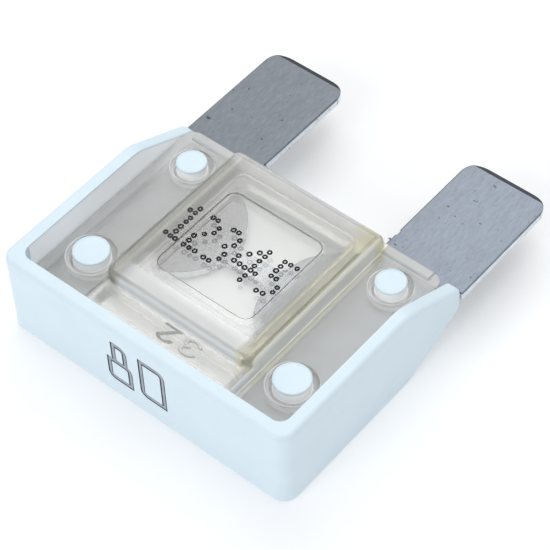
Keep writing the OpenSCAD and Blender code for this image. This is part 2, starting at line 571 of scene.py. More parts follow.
    def round_gap(self, x_mm: float, y_mm: float, radius_mm: float) -> Socket:
        """Returns the distance out of two upright cylinders at x and -x, with y from the front wall."""
        along = self.maths("SUBTRACT", self.place_on(Axis.Y), y_mm)
        return self.maths("SUBTRACT", self.diagonal(self.side_gap(x_mm), along), radius_mm)


@dataclass(frozen=True)
class Zone:
    """Rectangle on the top, in millimetres, within which a finish changes.

    The change starts and ends at two distances out of the rectangle.
    """

    low: Pair
    high: Pair
    corner: float = 0.0
    start: float = -0.4
    end: float = 0.3

    def gap(self, sheet: NodeSheet) -> Socket:
        """Returns the distance out of the rectangle."""
        return sheet.outside(self.low, self.high, self.corner)

    def choose(self, sheet: NodeSheet, inside: float, outside: float) -> Socket:
        """Returns one value inside the zone and another outside it."""
        return sheet.remap(self.gap(sheet), self.start, self.end, inside, outside)


@dataclass(frozen=True)
class Finish:
    """Finish of a piece. Each kind gives the sockets of its own shader."""

    name: str

    def surface(self, sheet: NodeSheet) -> dict[str, Socket]:
        """Returns what joins the material's output, by the names of its sockets."""
        raise NotImplementedError

    def build(self) -> Material:
        """Makes the material.

        Returns:
            The new material.
        """
        material = bpy.data.materials.new(self.name)
        sheet = NodeSheet(material)
        sheet.add("ShaderNodeOutputMaterial", **self.surface(sheet))
        return material


@dataclass(frozen=True)
class MouldedNylon(Finish):
    """Satin white nylon with faint mottling and the fine texture of a mould.

    Its glow is painted light, which brightens the surface beyond what the lamps give.
    """

    name: str = "moulded_nylon"
    colour: Colour = (0.73, 0.845, 0.905)
    shade: Colour = (0.705, 0.825, 0.89)
    roughness: float = 0.36
    roughest: float = 0.44
    glow: float = 0.0
    mottling_scale: float = 0.35
    grain_scale: float = 5.0
    grain_strength: float = 0.25
    grain_depth: float = 0.012
    ior: float = 1.5

    def surface(self, sheet: NodeSheet) -> dict[str, Socket]:
        """Returns the surface of the nylon.

        Args:
            sheet: Node tree of the material.

        Returns:
            The socket of the shader.
        """
        place = sheet.in_mm()
        grain = sheet.noise(place, self.grain_scale, 4.0)
        shader = sheet.add(
            "ShaderNodeBsdfPrincipled",
            base_color=sheet.mix(sheet.mottling(place, self.mottling_scale, 2.0), self.colour, self.shade),
            roughness=sheet.remap(grain, *sheet.WIDE_SPREAD, self.roughness, self.roughest),
            normal=sheet.bump(grain, self.grain_strength, self.grain_depth),
            # Painted glow: emission, set by glow, that brightens the nylon.
            emission_color=as_rgba(self.colour),
            emission_strength=self.glow,
            ior=self.ior,
        )
        return {"surface": shader.outputs["BSDF"]}


@dataclass(frozen=True)
class ClearPlastic(Finish):
    """Clear polycarbonate: yellow in its depth, satin outside the window and polished in it.

    Clouded zones stand for what dulls the plastic: moulded borders and edges. The bosses round the stakes and
    the rims of the counterbores are clouded, and the bosses glow, as painted highlight; painted shade greys
    the colour behind the window's border and darkens the box's left band.
    """

    name: str = "clear_polycarbonate"
    tint: Colour = (0.97, 0.93, 0.8)
    density: float = 75.0
    ior: float = 1.58
    body: Colour = (0.94, 0.945, 0.94)
    box: Zone = Zone((-7.65, -20.0), (7.65, 60.0), start=0.0)
    window: Zone = Zone((-4.85, 7.35), (4.85, 17.1), 0.9, 0.0)
    polished: float = 0.02
    satin: float = 0.16
    gloss: float = 0.08
    shine: float = 0.5
    coat: float = 0.6
    wing_satin: float = 0.25
    wing_shine: float = 0.12
    wing_coat: float = 0.0
    ripple_scale: float = 0.7
    grain_scale: float = 3.0
    grain_heights: Pair = (0.01, 0.08)
    scratch_stretch: Point = (5.0, 0.9, 5.0)
    scratch_deg: float = 35.0
    scratch_height: float = 0.12
    scratch_end: float = 1.6
    relief_depth: float = 0.05
    relief_strength: float = 0.35
    coat_relief: float = 0.5
    # Painted shade: the colour is greyed behind the window's border and darkened on the box's left band.
    painted_shade_zone: Zone = Zone((-7.2, 8.0), (6.2, 19.4))
    shade: Colour = (0.53, 0.53, 0.51)
    painted_deep_shade_zone: Zone = Zone((-7.5, 3.9), (-6.0, 19.6), 0.5)
    painted_deep_shade: Colour = (0.33, 0.33, 0.27)
    amber_zones: tuple[Zone, ...] = (
        Zone((6.15, 4.0), (7.55, 20.6), 0.7, -0.25, 0.25),
        Zone((5.4, 19.2), (7.9, 21.5), 1.0, -0.25, 0.25),
    )
    amber: Colour = (0.87, 0.84, 0.62)
    haze: Pair = (0.078, 0.195)
    wing_haze: float = 0.1
    most_haze: float = 0.225
    mottling_scale: float = 0.45
    front_zone: Zone = Zone((-7.9, 3.7), (6.3, 6.6), 0.5, -0.5, 0.4)
    front_haze: float = 0.36
    face_zone: Zone = Zone((-7.3, 4.2), (6.6, 4.55), 0.0, -0.05, 0.3)
    face_haze: float = 0.7
    border_zone: Zone = Zone((-11.9, 2.4), (20.0, 19.9), 0.0, -0.3, 0.5)
    border_haze: float = 0.38
    side_x: float = 7.6
    side_reach: Pair = (0.12, 0.25)
    side_haze: float = 0.8
    stake_x: float = 10.4
    # Painted highlight: the bosses round the stakes are clouded and glow, and a crescent on each
    # counterbore's rim is clouded.
    collars: tuple[tuple[float, float, float], ...] = ((6.0, 1.59, 1.98), (18.2, 1.34, 1.7))
    collar_edge: float = 0.05
    painted_collar_highlight: float = 0.75
    painted_collar_glow: float = 0.12
    crescent_width: float = 0.22
    crescent_edge: float = 0.06
    painted_crescent_highlight: float = 0.65

    def relief(self, sheet: NodeSheet, satin: Socket) -> Socket:
        """Returns the height of the surface: ripples, grain, and scratches near the window.

        Args:
            sheet: Node tree of the material.
            satin: 1 outside the window and 0 in it.

        Returns:
            The socket of the height.
        """
        place = sheet.in_mm()
        gap = self.window.gap(sheet)
        grain = sheet.noise(place, self.grain_scale, 3.0)
        scratches = sheet.noise(sheet.in_mm(self.scratch_stretch, self.scratch_deg), 1.0, 2.0)
        near = sheet.remap(gap, self.window.end, self.scratch_end, self.scratch_height, 0.0)
        return sheet.maths(
            "ADD",
            sheet.maths("MULTIPLY", grain, self.window.choose(sheet, *self.grain_heights)),
            sheet.noise(place, self.ripple_scale, 2.0),
            sheet.maths("MULTIPLY", scratches, satin, near),
        )

    def colour(self, sheet: NodeSheet, satin: Socket) -> Socket:
        """Returns the colour: painted shade, grey behind the window's border and darker on the left; and
        amber on the right.

        Args:
            sheet: Node tree of the material.
            satin: 1 outside the window and 0 in it.

        Returns:
            The socket of the colour.
        """
        # Painted shade: greyed behind the window's border and darkened on the box's left band.
        painted_shade = sheet.maths("MULTIPLY", satin, self.painted_shade_zone.choose(sheet, 1.0, 0.0))
        ambers = [zone.choose(sheet, 1.0, 0.0) for zone in self.amber_zones]
        colour = sheet.mix(painted_shade, self.body, self.shade)
        colour = sheet.mix(self.painted_deep_shade_zone.choose(sheet, 1.0, 0.0), colour, self.painted_deep_shade)
        return sheet.mix(sheet.maths("MAXIMUM", *ambers), colour, self.amber)

    def painted_boss_and_rim_highlights(self, sheet: NodeSheet) -> tuple[Socket, Socket]:
        """Returns the zones of painted highlight: the bosses below the heads, and the lit rims of the
        counterbores.

        Args:
            sheet: Node tree of the material.

        Returns:
            The sockets of both zones, 1 within them.
        """
        painted_boss_highlights, painted_rim_highlights = [], []
        width, edge = self.crescent_width, self.crescent_edge
        for y, boss_r, sink_r in self.collars:
            boss = sheet.round_gap(self.stake_x, y, boss_r)
            painted_boss_highlights.append(sheet.remap(boss, -self.collar_edge, self.collar_edge, 1.0, 0.0))
            within = sheet.remap(sheet.round_gap(self.stake_x, y, sink_r + width), -edge, edge, 1.0, 0.0)
            out_of = sheet.remap(sheet.round_gap(self.stake_x, y + width, sink_r), -edge, edge)
            painted_rim_highlights.append(sheet.maths("MULTIPLY", within, out_of))
        return sheet.maths("MAXIMUM", *painted_boss_highlights), sheet.maths("MAXIMUM", *painted_rim_highlights)

    def cloud(self, sheet: NodeSheet, satin: Socket, on_wing: Socket, boss: Socket, painted_rim_highlight: Socket) -> Socket:
        """Returns the share of the surface that lets no light through, raised on the bosses and the
        counterbores' rims as painted highlight.

        Args:
            sheet: Node tree of the material.
            satin: 1 outside the window and 0 in it.
            on_wing: 1 on the wings and 0 on the box.
            boss: 1 on the bosses, which take painted highlight.
            painted_rim_highlight: 1 on the lit rims of the counterbores, which take painted highlight.

        Returns:
            The socket of the share.
        """
        mottled = sheet.mottling(sheet.in_mm(), self.mottling_scale, 4.0, *self.haze)
        even = sheet.maths(
            "ADD", sheet.maths("MULTIPLY", satin, mottled), sheet.maths("MULTIPLY", on_wing, self.wing_haze)
        )
        return sheet.maths(
            "MAXIMUM",
            sheet.maths("MINIMUM", even, self.most_haze),
            self.front_zone.choose(sheet, self.front_haze, 0.0),
            self.face_zone.choose(sheet, self.face_haze, 0.0),
            self.border_zone.choose(sheet, 0.0, self.border_haze),
            sheet.remap(sheet.side_gap(self.side_x), *self.side_reach, self.side_haze, 0.0),
            # Painted highlight: the bosses and the counterbores' rims are clouded white.
            sheet.maths("MULTIPLY", boss, self.painted_collar_highlight),
            sheet.maths("MULTIPLY", painted_rim_highlight, self.painted_crescent_highlight),
        )

    def surface(self, sheet: NodeSheet) -> dict[str, Socket]:
        """Returns the surface and the depth of the plastic.

        Args:
            sheet: Node tree of the material.

        Returns:
            The sockets of the shader and the volume.
        """
        satin = self.window.choose(sheet, 0.0, 1.0)
        on_wing = self.box.choose(sheet, 0.0, 1.0)
        boss, painted_rim_highlight = self.painted_boss_and_rim_highlights(sheet)
        height = self.relief(sheet, satin)
        shader = sheet.add(
            "ShaderNodeBsdfPrincipled",
            base_color=self.colour(sheet, satin),
            roughness=sheet.maths(
                "ADD",
                sheet.remap(satin, 0.0, 1.0, self.polished, self.satin),
                sheet.maths("MULTIPLY", on_wing, self.wing_satin - self.satin),
            ),
            normal=sheet.bump(height, self.relief_strength, self.relief_depth),
            coat_normal=sheet.bump(height, self.coat_relief, self.relief_depth),
            specular_ior_level=sheet.remap(on_wing, 0.0, 1.0, self.shine, self.wing_shine),
            coat_weight=sheet.remap(on_wing, 0.0, 1.0, self.coat, self.wing_coat),
            coat_roughness=self.gloss,
            # Painted glow on the bosses, as a highlight.
            emission_color=as_rgba(self.body),
            emission_strength=sheet.maths("MULTIPLY", boss, self.painted_collar_glow),
            transmission_weight=sheet.maths("SUBTRACT", 1.0, self.cloud(sheet, satin, on_wing, boss, painted_rim_highlight)),
            ior=self.ior,
        )
        depth = sheet.add("ShaderNodeVolumeAbsorption", color=as_rgba(self.tint), density=self.density)
        return {"surface": shader.outputs["BSDF"], "volume": depth.outputs["Volume"]}


@dataclass(frozen=True)
class Ink(Finish):
    """Matt ink with slight changes of tone."""

    colour: Colour
    shade: Colour
    roughness: float = 0.55
    shine: float = 0.15
    mottling_scale: float = 3.0

    def surface(self, sheet: NodeSheet) -> dict[str, Socket]:
        """Returns the surface of the ink.

        Args:
            sheet: Node tree of the material.

        Returns:
            The socket of the shader.
        """
        shader = sheet.add(
            "ShaderNodeBsdfPrincipled",
            base_color=sheet.mix(
                sheet.mottling(sheet.in_mm(), self.mottling_scale, 3.0), self.colour, self.shade
            ),
            roughness=self.roughness,
            specular_ior_level=self.shine,
        )
        return {"surface": shader.outputs["BSDF"]}


@dataclass(frozen=True)
class PlatedZinc(Finish):
    """Dull grey plating with fine strokes along the blades and dark specks. Painted light makes its right
    side lighter, and painted shade darkens a patch of the left plate under the window.
    """

    name: str = "plated_zinc"
    # Painted light: the plating runs from darker on the left to lighter on the right.
    left: Colour = (0.148, 0.162, 0.18)
    right: Colour = (0.2, 0.225, 0.26)
    stroke_tone: float = 0.85
    bright_tone: float = 1.2
    stroke_stretch: Point = (8.0, 1.6, 8.0)
    stroke_strength: float = 0.3
    stroke_depth: float = 0.01
    slant_stretch: Point = (2.4, 0.7, 2.4)
    slant_deg: float = 28.0
    slant_spread: Pair = (0.3, 0.65)
    slant_tone: float = 1.05
    speck_tone: float = 0.35
    speck_scale: float = 2.2
    speck_spread: Pair = (0.7, 0.73)
    half_width: float = 9.0
    link: Colour = (0.36, 0.38, 0.41)
    link_reach: Pair = (1.2, 2.2)
    # Painted shade: a dark patch on the left plate under the window.
    painted_shade_patch_zone: Zone = Zone((-8.5, 11.5), (-2.5, 17.5), 3.0, -2.4, 0.4)
    painted_shade_patch_tone: float = 0.25
    roughness: float = 0.48
    roughest: float = 0.58

    def surface(self, sheet: NodeSheet) -> dict[str, Socket]:
        """Returns the surface of the plating.

        Args:
            sheet: Node tree of the material.

        Returns:
            The socket of the shader.
        """
        x = sheet.place_on(Axis.X)
        strokes = sheet.noise(sheet.in_mm(self.stroke_stretch), 1.0, 4.0)
        slanted = sheet.noise(sheet.in_mm(self.slant_stretch, self.slant_deg), 1.0, 4.0)
        specks = sheet.noise(sheet.in_mm(), self.speck_scale, 2.0)
        tone = sheet.maths(
            "MULTIPLY",
            sheet.remap(strokes, *sheet.WIDE_SPREAD, self.stroke_tone, self.bright_tone),
            sheet.remap(slanted, *self.slant_spread, (1 + self.stroke_tone) / 2, self.slant_tone),
            sheet.remap(specks, *self.speck_spread, 1.0, self.speck_tone),
            # Painted shade: the dark patch on the left plate under the window.
            self.painted_shade_patch_zone.choose(sheet, self.painted_shade_patch_tone, 1.0),
        )
        # Painted light: darker on the left and lighter on the right.
        across = sheet.remap(x, -self.half_width, self.half_width)
        on_link = sheet.remap(sheet.maths("ABSOLUTE", x), *self.link_reach, 1.0, 0.0)
        shade = sheet.mix(on_link, sheet.mix(across, self.left, self.right), self.link)
        plating = sheet.add("ShaderNodeVectorMath", vector=shade)
        plating.operation = "SCALE"
        sheet.put(plating.inputs["Scale"], tone)
        shader = sheet.add(
            "ShaderNodeBsdfPrincipled",
            base_color=plating.outputs[0],
            roughness=sheet.remap(strokes, *sheet.WIDE_SPREAD, self.roughness, self.roughest),
            normal=sheet.bump(strokes, self.stroke_strength, self.stroke_depth),
            metallic=1.0,
        )
        return {"surface": shader.outputs["BSDF"]}


@dataclass(frozen=True)
class FloorPaint(Finish):
    """White floor that meets a white backdrop and keeps the object's shadow."""

    name: str = "floor_paint"
    colour: Colour = (0.76, 0.76, 0.76)
    lift: float = 0.3

    def surface(self, sheet: NodeSheet) -> dict[str, Socket]:
        """Returns the surface of the floor.

        Args:
            sheet: Node tree of the material.

        Returns:
            The socket of the shader.
        """
        both = sheet.add("ShaderNodeAddShader")
        paint = sheet.add("ShaderNodeBsdfDiffuse", color=as_rgba(self.colour))
        glow = sheet.add("ShaderNodeEmission", strength=self.lift)
        for socket, part in zip(both.inputs, (paint, glow)):
            sheet.put(socket, part.outputs[0])
        return {"surface": both.outputs[0]}


@dataclass(frozen=True)
class StudioCamera:
    """Camera solved from the straight edges in the photograph."""

    aim_mm: Point = (0.0, -2.15, 4.0)
    azimuth_deg: float = 42.33
    elevation_deg: float = 50.065
    roll_deg: float = -3.148
    distance_mm: float = 173.82
    focal_px: float = 2153.7
    shift_px: Pair = (10.63, -9.97)
    sensor_mm: float = 36.0
    nearest_m: float = 0.01

    def build(self) -> Piece:
        """Adds the camera and makes it the scene's own.

        Returns:
            The camera object.
        """
        azimuth = math.radians(self.azimuth_deg)
        elevation = math.radians(self.elevation_deg)
        towards = Vector((
            math.cos(elevation) * math.sin(azimuth),
            -math.cos(elevation) * math.cos(azimuth),
            math.sin(elevation),
        ))
        bpy.ops.object.camera_add(location=(Vector(self.aim_mm) + towards * self.distance_mm) * MM)
        camera = bpy.context.active_object
        camera.name = "photo_camera"
        roll = Matrix.Rotation(math.radians(self.roll_deg), 3, "Z")
        camera.rotation_euler = (towards.to_track_quat("Z", "Y").to_matrix() @ roll).to_euler()
        lens = camera.data
        lens.sensor_width = self.sensor_mm
        lens.lens = self.focal_px * self.sensor_mm / IMAGE_PX
        lens.shift_x, lens.shift_y = (shift / IMAGE_PX for shift in self.shift_px)
        lens.clip_start = self.nearest_m
        bpy.context.scene.camera = camera
        return camera


@dataclass(frozen=True)
class Lamp:
    """Square lamp that points at the fuse, with its place and size in metres."""

    name: str
    place: Point
    size: float
    watts: float
    colour: Colour = WHITE

    def hang(self) -> None:
        """Adds the lamp to the scene."""
        bpy.ops.object.light_add(type="AREA", location=self.place)
        lamp = bpy.context.active_object
        lamp.name = self.name
        lamp.rotation_euler = Vector(self.place).to_track_quat("Z", "Y").to_euler()
        lamp.data.shape = "SQUARE"
        lamp.data.size = self.size
        lamp.data.energy = self.watts
        lamp.data.color = self.colour


@dataclass
class Studio:
    """White room: soft lamps, an even sky, a floor and the camera."""

    sky_fill: float = 0.5
    sky_colour: Colour = (0.945, 0.975, 1.0)
    floor_size: float = 2.0
    max_bounces: int = 24
    camera: StudioCamera = field(default_factory=StudioCamera)
    lamps: tuple[Lamp, ...] = (
        Lamp("sheen_lamp", (-0.2, 0.33, 0.47), 0.4, 1.06),
        Lamp("top_lamp", (0.08, 0.05, 0.58), 0.25, 0.48),
        Lamp("front_lamp", (-0.02, -0.46, 0.28), 0.25, 0.79, (0.93, 0.95, 1.0)),
        Lamp("side_lamp", (0.42, -0.05, 0.4), 0.25, 0.1, (0.55, 0.7, 1.0)),
        Lamp("left_glint", (-0.34, 0.1, 0.42), 0.1, 0.12),
        Lamp("right_glint", (0.26, 0.26, 0.4), 0.1, 0.08),
    )

    def light_sky(self) -> None:
        """Fills the room with even, slightly cool light, and shows it as white."""
        world = bpy.data.worlds.new("studio_sky")
        bpy.context.scene.world = world
        sheet = NodeSheet(world)
        path = sheet.add("ShaderNodeLightPath")
        shown = sheet.maths(
            "MAXIMUM", *(path.outputs[f"Is {kind} Ray"] for kind in ("Camera", "Glossy", "Transmission"))
        )
        sky = sheet.add(
            "ShaderNodeBackground",
            color=sheet.mix(shown, self.sky_colour, WHITE),
            strength=sheet.remap(shown, 0.0, 1.0, self.sky_fill, 1.0),
        )
        sheet.add("ShaderNodeOutputWorld", surface=sky.outputs[0])

    def lay_floor(self) -> None:
        """Lays the floor that the fuse rests on."""
        bpy.ops.mesh.primitive_plane_add(size=self.floor_size)
        floor = bpy.context.active_object
        floor.name = "studio_floor"
        floor.data.materials.append(FloorPaint().build())

    def build(self) -> None:
        """Sets up camera, sky, lamps and floor."""
        bpy.context.scene.view_settings.view_transform = "Standard"
        bpy.context.scene.cycles.max_bounces = self.max_bounces
        bpy.context.scene.cycles.transmission_bounces = self.max_bounces
        self.camera.build()
        self.light_sky()
        for lamp in self.lamps:
            lamp.hang()
        self.lay_floor()


@dataclass
class ClearCover:
    """Clear cover: wings, a raised box over the link, a low strip, and counterbores for the stakes."""

    width: float
    front_y: float
    back_y: float
    bottom_z: float
    top_z: float
    air: float = 0.04
    wing_rise: float = 1.45
    wing_corner: float = 0.9
    lip_rise: float = 0.25
    lip_width: float = 1.0
    box_half: float = 7.65
    box_front: float = 4.35
    box_back: float = 21.2
    box_corner: float = 1.2
    box_edge: float = 0.6
    box_back_edge: float = 1.2
    strip_top: float = 7.15
    strip_shoulder: float = 0.75
    wall: float = 1.5
    roof: float = 1.0
    cavity_corner: float = 0.9
    cavity_edge: float = 0.6
    window_half: float = 4.85
    window_front: float = 7.35
    window_back: float = 17.1
    window_sink: float = 0.1
    window_corner: float = 0.9
    stake_x: float = 10.4
    front_stake: tuple[float, float, float] = (6.0, 2.05, 1.15)
    back_stake: tuple[float, float, float] = (18.2, 1.8, 0.9)
    sink_depth: float = 0.42
    sink_edge: float = 0.25
    boss_depth: float = 0.63
    boss_z: float = 6.44
    boss_wall: float = 0.34
    softness: float = 0.09
    number_y: float = 3.15
    number_places: Pair = (2.65, 0.4)
    number_bowl: float = 0.36
    number_radius: float = 0.12
    number_stretch: float = 1.8
    number_mouth: float = 0.05
    slope_share: float = 0.97
    foot_share: float = 0.94

    @property
    def wing_z(self) -> float:
        """Height of the wings' upper face."""
        return self.bottom_z + self.wing_rise

    @property
    def root_z(self) -> float:
        """Height inside the wings at which the box and the strip start."""
        return self.wing_z - self.wing_rise / 2

    def wings(self) -> Piece:
        """Returns the flat plate that the box stands on, raised by the air under it.

        Returns:
            The solid, in millimetres.
        """
        half = self.width / 2
        return rounded_block(
            "clear_cover_shell",
            (-half, self.front_y, self.bottom_z + self.air),
            (half, self.back_y, self.wing_z),
            (self.wing_corner,) * 4,
        )

    def raised_box(self) -> Piece:
        """Returns the raised box with its rounded edges.

        Returns:
            The solid, in millimetres.
        """
        piece = rounded_block(
            "raised_box",
            (-self.box_half, self.box_front, self.root_z),
            (self.box_half, self.box_back, self.top_z),
            (self.box_corner, self.box_corner, 0.0, 0.0),
        )
        top_back = edges_at(Axis.X, (Axis.Y, self.box_back), (Axis.Z, self.top_z))
        round_edges(piece, top_back, self.box_back_edge, 10)
        round_edges(
            piece, lambda edge: is_sharp(edge) and not lies(edge, Axis.Z, self.root_z), self.box_edge, 5
        )
        return piece

    def strip(self) -> Piece:
        """Returns the low strip between the front wall and the box.

        Returns:
            The solid, in millimetres.
        """
        piece = block(
            "strip",
            (-self.box_half, self.front_y, self.root_z),
            (self.box_half, self.box_front + self.box_corner, self.strip_top),
        )
        round_edges(piece, edges_at(Axis.Y, (Axis.Z, self.strip_top)), self.strip_shoulder)
        return piece

    def lip(self) -> Piece:
        """Returns the lip along the back of the wings.

        Returns:
            The solid, in millimetres.
        """
        half = self.width / 2 - self.wing_corner
        high_z = self.wing_z + self.lip_rise
        piece = block(
            "lip",
            (-half, self.back_y - self.lip_width, self.wing_z - self.lip_rise),
            (half, self.back_y, high_z),
        )
        round_edges(piece, edges_at(Axis.X, (Axis.Z, high_z)), self.lip_rise)
        return piece

    def room(self, name: str, low_z: float, high_z: float) -> Piece:
        """Returns a room of the size of the box's inside, between two heights.

        Args:
            name: Name of the new object.
            low_z: Lowest height.
            high_z: Highest height.

        Returns:
            The solid, in millimetres.
        """
        half = self.box_half - self.wall
        return rounded_block(
            name,
            (-half, self.box_front + self.wall, low_z),
            (half, self.box_back - self.wall, high_z),
            (self.cavity_corner,) * 4,
            6,
        )

    def cavity(self) -> Piece:
        """Returns the room round the link, with a rounded ceiling.

        Returns:
            The solid, in millimetres.
        """
        high_z = self.top_z - self.roof
        piece = self.room("cavity", self.bottom_z - PAST, high_z)
        round_edges(piece, lambda edge: is_sharp(edge) and lies(edge, Axis.Z, high_z), self.cavity_edge, 5)
        return piece

    def window(self) -> Piece:
        """Returns the shallow recess of the polished window.

        Returns:
            The solid, in millimetres.
        """
        return rounded_block(
            "window",
            (-self.window_half, self.window_front, self.top_z - self.window_sink),
            (self.window_half, self.window_back, self.top_z + PAST),
            (self.window_corner,) * 4,
        )

    def counterbore(self, centre: Pair, radius: float) -> Piece:
        """Returns the room of a counterbore, rounded at its bottom.

        Args:
            centre: Middle of the counterbore, seen from above.
            radius: Radius of the counterbore.

        Returns:
            The solid, in millimetres.
        """
        floor_z = self.wing_z - self.sink_depth
        piece = disc("sink", centre, radius, floor_z, self.top_z)
        round_edges(piece, lambda edge: is_sharp(edge) and lies(edge, Axis.Z, floor_z), self.sink_edge, 5)
        return piece

    def bowl(self, y: float, low: Pair, high: Pair) -> Piece:
        """Returns a round bead with a part cut away, as the bowl of a numeral.

        Args:
            y: Place of the bowl's middle in the numeral.
            low: Lowest corner of the part that is cut away, from the bowl's middle.
            high: Highest corner of that part.

        Returns:
            The solid, in millimetres.
        """
        radius = self.number_radius
        bpy.ops.mesh.primitive_torus_add(
            major_segments=32, minor_segments=10, major_radius=self.number_bowl, minor_radius=radius
        )
        bowl = bpy.context.active_object
        combine(bowl, Joining.CUT, block("cut", (*low, -2 * radius), (*high, 2 * radius)))
        bowl.location.y = y
        only(bowl)
        bpy.ops.object.transform_apply(location=True)
        return bowl

    def numeral(self, x: float, first: Piece, *others: Piece) -> Piece:
        """Returns a numeral from its strokes, turned to read from the back and set on the strip.

        Args:
            x: Place of its middle.
            first: First bead, in the plane of the numeral.
            *others: Other beads, which overlap it.

        Returns:
            The numeral in its place.
        """
        only(combine(first, Joining.ADD, *others))
        first.scale.x = self.number_stretch
        first.rotation_euler.z = math.pi
        first.location = (x, self.number_y, self.strip_top)
        bpy.ops.object.transform_apply(location=True, rotation=True, scale=True)
        return first

    def numerals(self) -> list[Piece]:
        """Returns the raised numerals 3 and 2 of the strip.

        Returns:
            Both numerals in their places.
        """
        bowl, radius, mouth = self.number_bowl, self.number_radius, self.number_mouth
        upper = self.bowl(bowl, (-PAST, -PAST), (0.0, mouth))
        lower = self.bowl(-bowl, (-PAST, -mouth), (0.0, PAST))
        arch = self.bowl(bowl, (-PAST, -PAST), (PAST, 0.0))
        foot_y, foot_x = -2 * bowl, bowl + radius
        slope = rod("slope", (bowl, bowl + radius / 2, 0.0), (-bowl, foot_y, 0.0), radius * self.slope_share)
        foot = rod("foot", (-foot_x, foot_y, 0.0), (foot_x, foot_y, 0.0), radius * self.foot_share)
        three_x, two_x = self.number_places
        return [self.numeral(three_x, upper, lower), self.numeral(two_x, arch, slope, foot)]

    def build(self, material: Material) -> Piece:
        """Models the cover.

        Args:
            material: Clear plastic.

        Returns:
            The finished piece.
        """
        cover = combine(self.wings(), Joining.ADD, self.lip(), self.strip(), self.raised_box())
        combine(cover, Joining.CUT, self.cavity(), self.window())
        boss_root = self.wing_z - self.boss_depth
        for y, sink_r, hole_r in (self.front_stake, self.back_stake):
            for side in (-1, 1):
                centre = (side * self.stake_x, y)
                boss = disc("boss", centre, hole_r + self.boss_wall, boss_root, self.boss_z)
                hole = disc("hole", centre, hole_r, self.bottom_z - PAST, self.top_z, 32)
                combine(cover, Joining.CUT, self.counterbore(centre, sink_r))
                combine(cover, Joining.ADD, boss)
                combine(cover, Joining.CUT, hole)
        tidy(cover)
        soften(cover, self.softness)
        combine(cover, Joining.ADD, *self.numerals())
        return settle(cover, material)


